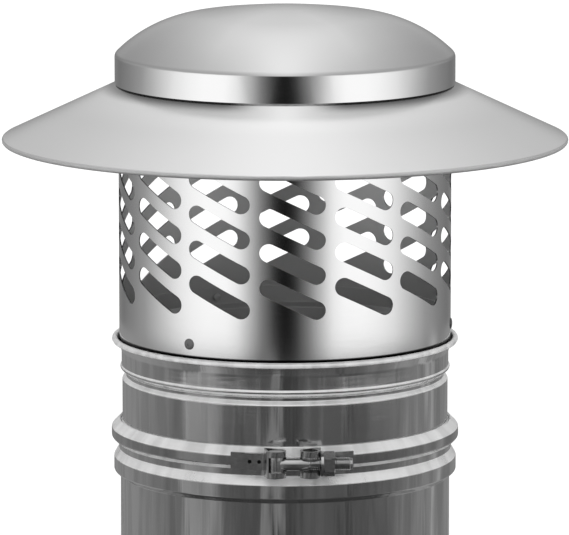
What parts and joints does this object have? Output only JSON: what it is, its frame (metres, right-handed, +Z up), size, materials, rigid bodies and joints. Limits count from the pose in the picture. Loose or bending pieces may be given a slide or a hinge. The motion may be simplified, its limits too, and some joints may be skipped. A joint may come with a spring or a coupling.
{
  "type": "chimney rain cap",
  "caption": "Round chimney rain cap with a domed top, sloping brim and slotted tube, seated in a flue pipe joint that a bolted locking band holds together.",
  "frame": {"origin": "centre of the flue pipe's cut bottom end", "axes": "+Z up along the pipe; the bolted closure faces -Y, with +X to its right"},
  "size_m": [0.34, 0.34, 0.3659],
  "materials": {
    "satin_steel": "satin",
    "bright_steel": "polished",
    "rivet_metal": "dull",
    "pipe_steel": "polished, slightly wavy",
    "band_steel": "polished",
    "bolt_steel": "zinc-plated",
    "seal_rubber": "matte"
  },
  "bodies": {
    "root": {"socket_collar": "pipe_steel", "flue_pipe": "pipe_steel", "joint_seal": "seal_rubber", "clamp_band": "band_steel", "bolt_strap": "band_steel", "nut_strap": "band_steel"},
    "cap": {"dome_cap": "satin_steel", "brim": "satin_steel", "slotted_tube": "bright_steel", "spigot_sleeve": "bright_steel", "sleeve_rivets": "rivet_metal"},
    "bolt": {"t_bolt": "bolt_steel"},
    "washer": {"bolt_washer": "bolt_steel"},
    "nut": {"bolt_nut": "bolt_steel"}
  },
  "joints": [
    {"name": "cap_lift", "type": "slide", "parent": "root", "child": "cap", "axis": [0, 0, 1], "range_m": [0, 0.06]},
    {"name": "bolt_swing", "type": "hinge", "parent": "root", "child": "bolt", "pos_m": [-0.00526, -0.11317, 0.1096], "axis": [0, 0, -1], "range_deg": [0, 90]},
    {"name": "washer_slide", "type": "slide", "parent": "bolt", "child": "washer", "axis": [0.9991, 0.0419, 0], "range_m": [0, 0.01001]},
    {"name": "nut_turn", "type": "hinge", "parent": "washer", "child": "nut", "pos_m": [0.02591, -0.11187, 0.1096], "axis": [0.9991, 0.0419, 0], "range_deg": [0, 2880]}
  ],
  "couplings": [
    {"joint": "washer_slide", "follows": "nut_turn", "m_per_rad": 0.00019894}
  ]
}
